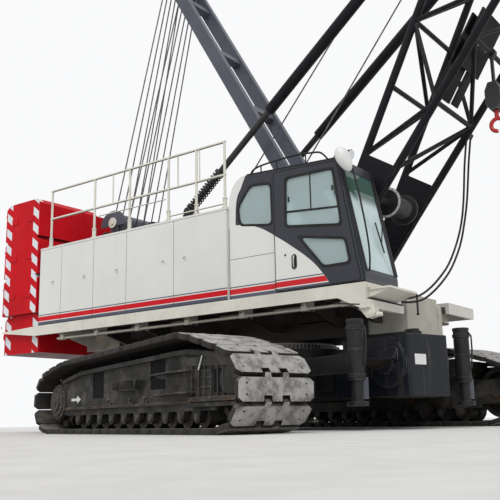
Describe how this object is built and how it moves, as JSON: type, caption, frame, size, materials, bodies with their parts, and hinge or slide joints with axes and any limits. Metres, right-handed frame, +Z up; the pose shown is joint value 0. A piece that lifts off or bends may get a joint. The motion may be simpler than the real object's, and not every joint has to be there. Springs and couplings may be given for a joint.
{
  "type": "crawler crane",
  "caption": "Crawler crane with a lattice boom, a live mast and rope stays on a swinging upper over two shoed tracks; boom, mast, cab door, house doors, winches and hook move.",
  "frame": {"origin": "on the ground under the swing axis", "axes": "+X forward along the boom as stored, +Y to the left, +Z up"},
  "size_m": [14.9864, 7.6295, 15.1469],
  "materials": {
    "black_paint": "black gloss paint with dust",
    "machined_steel": "greased machined steel",
    "weight_paint": "black-navy gloss paint",
    "track_frame": "black paint under dry grey dirt",
    "shoe_steel": "worn pale cast steel",
    "wheel_steel": "dusty dark cast steel",
    "frame_paint": "cream paint, dusty underneath",
    "cream_paint": "cream gloss paint",
    "house_paint": "pale grey-white gloss paint with stripes",
    "engine_paint": "dark grey paint",
    "cab_paint": "charcoal gloss paint",
    "cab_glass": "lightly green-tinted safety glass",
    "seat_vinyl": "black vinyl",
    "dark_plastic": "dark grained plastic",
    "mirror_shell": "white gloss plastic",
    "weight_red": "red gloss paint with dirt",
    "winch_steel": "pale paint worn to steel",
    "boom_paint": "black gloss paint",
    "mast_paint": "blue-grey paint",
    "dark_steel": "black oily steel",
    "hook_red": "red paint"
  },
  "bodies": {
    "undercarriage": {"carbody": "black_paint", "slewing_ring": "machined_steel", "carbody_weights": "weight_paint", "carbody_jacks": "black_paint", "side_frame_right": "track_frame", "side_frame_left": "track_frame", "track_right": "shoe_steel", "track_left": "shoe_steel", "idlers": "wheel_steel", "drive_wheels": "wheel_steel", "bottom_rollers": "wheel_steel"},
    "upper": {"centre_frame": "frame_paint", "deck_right": "cream_paint", "deck_left": "cream_paint", "house_right": "house_paint", "house_left": "house_paint", "engine": "engine_paint", "guard_rails": "cream_paint", "cab_shell": "cab_paint", "cab_glass": "cab_glass", "cab_seat": "seat_vinyl", "cab_console": "dark_plastic", "cab_mirror": "mirror_shell", "slab_1": "weight_red", "slab_2": "weight_red", "slab_3": "weight_red", "slab_4": "weight_red", "rope_block": "mast_paint"},
    "cab_door": {"cab_door": "cab_paint", "cab_door_glass": "cab_glass"},
    "boom": {"boom_base": "boom_paint", "boom_top": "boom_paint", "boom_tip": "boom_paint"},
    "boom_winch": {"boom_winch": "winch_steel"},
    "mast": {"mast": "mast_paint", "mast_head": "dark_steel"},
    "pendants": {"pendants": "dark_steel"},
    "backstop_tubes": {"backstop_tubes": "boom_paint"},
    "backstop_rods": {"backstop_rods": "dark_steel"},
    "hook_block": {"hook_block": "dark_steel"},
    "hook": {"hook": "hook_red"},
    "winch_front": {"winch_front": "winch_steel"},
    "winch_rear": {"winch_rear": "winch_steel"},
    "winch_boom": {"winch_boom": "winch_steel"},
    "door_right_1": {"door_right_1": "house_paint"},
    "door_right_2": {"door_right_2": "house_paint"},
    "door_right_3": {"door_right_3": "house_paint"},
    "door_right_4": {"door_right_4": "house_paint"},
    "door_right_5": {"door_right_5": "house_paint"},
    "door_left_1": {"door_left_1": "house_paint"},
    "door_left_2": {"door_left_2": "house_paint"},
    "door_left_3": {"door_left_3": "house_paint"},
    "door_left_4": {"door_left_4": "house_paint"}
  },
  "joints": [
    {"name": "swing", "type": "hinge", "parent": "undercarriage", "child": "upper", "pos_m": [0, 0, 1.2], "axis": [0, 0, 1], "continuous": true},
    {"name": "boom_luff", "type": "hinge", "parent": "upper", "child": "boom", "pos_m": [1.1, 0, 1.985], "axis": [0, -1, 0], "range_deg": [-57.5, 22.5]},
    {"name": "mast_luff", "type": "hinge", "parent": "upper", "child": "mast", "pos_m": [1.56, 0, 2.15], "axis": [0, -1, 0], "range_deg": [-59.1, 23.7]},
    {"name": "pendant_link", "type": "hinge", "parent": "boom", "child": "pendants", "pos_m": [8.9564, 0, 14.93126], "axis": [0, -1, 0], "range_deg": [-5, 5]},
    {"name": "backstop_tilt", "type": "hinge", "parent": "boom", "child": "backstop_tubes", "pos_m": [3.90383, 0, 7.98518], "axis": [0, -1, 0], "range_deg": [-6, 13]},
    {"name": "backstop_reach", "type": "slide", "parent": "backstop_tubes", "child": "backstop_rods", "axis": [-0.7859, 0, -0.6184], "range_m": [-1.025, 2.589]},
    {"name": "hook_hang", "type": "hinge", "parent": "boom", "child": "hook_block", "pos_m": [3.90289, 0, 5.41639], "axis": [0, -1, 0], "range_deg": [-23, 58]},
    {"name": "hook_turn", "type": "hinge", "parent": "hook_block", "child": "hook", "pos_m": [3.90289, 0, 4.41639], "axis": [0, 0, 1], "continuous": true},
    {"name": "boom_winch_turn", "type": "hinge", "parent": "boom", "child": "boom_winch", "pos_m": [2.19746, 0, 3.37265], "axis": [0, 1, 0], "continuous": true},
    {"name": "cab_door_slide", "type": "slide", "parent": "upper", "child": "cab_door", "axis": [-1, 0, 0], "range_m": [0, 0.75]},
    {"name": "winch_front_turn", "type": "hinge", "parent": "upper", "child": "winch_front", "pos_m": [-0.9, 0, 2.52], "axis": [0, 1, 0], "continuous": true},
    {"name": "winch_rear_turn", "type": "hinge", "parent": "upper", "child": "winch_rear", "pos_m": [-2.33, 0, 2.52], "axis": [0, 1, 0], "continuous": true},
    {"name": "winch_boom_turn", "type": "hinge", "parent": "upper", "child": "winch_boom", "pos_m": [-3.42, 0, 2.52], "axis": [0, 1, 0], "continuous": true},
    {"name": "door_right_1_swing", "type": "hinge", "parent": "upper", "child": "door_right_1", "pos_m": [-4.11, -1.828, 3.278], "axis": [0, 0, -1], "range_deg": [0, 90]},
    {"name": "door_right_2_swing", "type": "hinge", "parent": "upper", "child": "door_right_2", "pos_m": [-3.505, -1.828, 3.278], "axis": [0, 0, -1], "range_deg": [0, 90]},
    {"name": "door_right_3_swing", "type": "hinge", "parent": "upper", "child": "door_right_3", "pos_m": [-2.655, -1.828, 3.278], "axis": [0, 0, -1], "range_deg": [0, 90]},
    {"name": "door_right_4_swing", "type": "hinge", "parent": "upper", "child": "door_right_4", "pos_m": [-1.843, -1.828, 3.278], "axis": [0, 0, -1], "range_deg": [0, 90]},
    {"name": "door_right_5_swing", "type": "hinge", "parent": "upper", "child": "door_right_5", "pos_m": [0.273, -1.828, 3.278], "axis": [0, 0, 1], "range_deg": [0, 90]},
    {"name": "door_left_1_swing", "type": "hinge", "parent": "upper", "child": "door_left_1", "pos_m": [-4.11, 1.828, 3.278], "axis": [0, 0, 1], "range_deg": [0, 90]},
    {"name": "door_left_2_swing", "type": "hinge", "parent": "upper", "child": "door_left_2", "pos_m": [-3.505, 1.828, 3.278], "axis": [0, 0, 1], "range_deg": [0, 90]},
    {"name": "door_left_3_swing", "type": "hinge", "parent": "upper", "child": "door_left_3", "pos_m": [-2.381, 1.828, 3.278], "axis": [0, 0, 1], "range_deg": [0, 90]},
    {"name": "door_left_4_swing", "type": "hinge", "parent": "upper", "child": "door_left_4", "pos_m": [0.273, 1.828, 3.278], "axis": [0, 0, -1], "range_deg": [0, 90]}
  ],
  "couplings": [
    {"joint": "mast_luff", "follows": "boom_luff", "ratio": 1.01},
    {"joint": "pendant_link", "follows": "boom_luff", "ratio": 0.0362},
    {"joint": "backstop_tilt", "follows": "boom_luff", "ratio": -0.2},
    {"joint": "backstop_reach", "follows": "boom_luff", "m_per_rad": -2.56},
    {"joint": "hook_hang", "follows": "boom_luff", "ratio": -1}
  ]
}
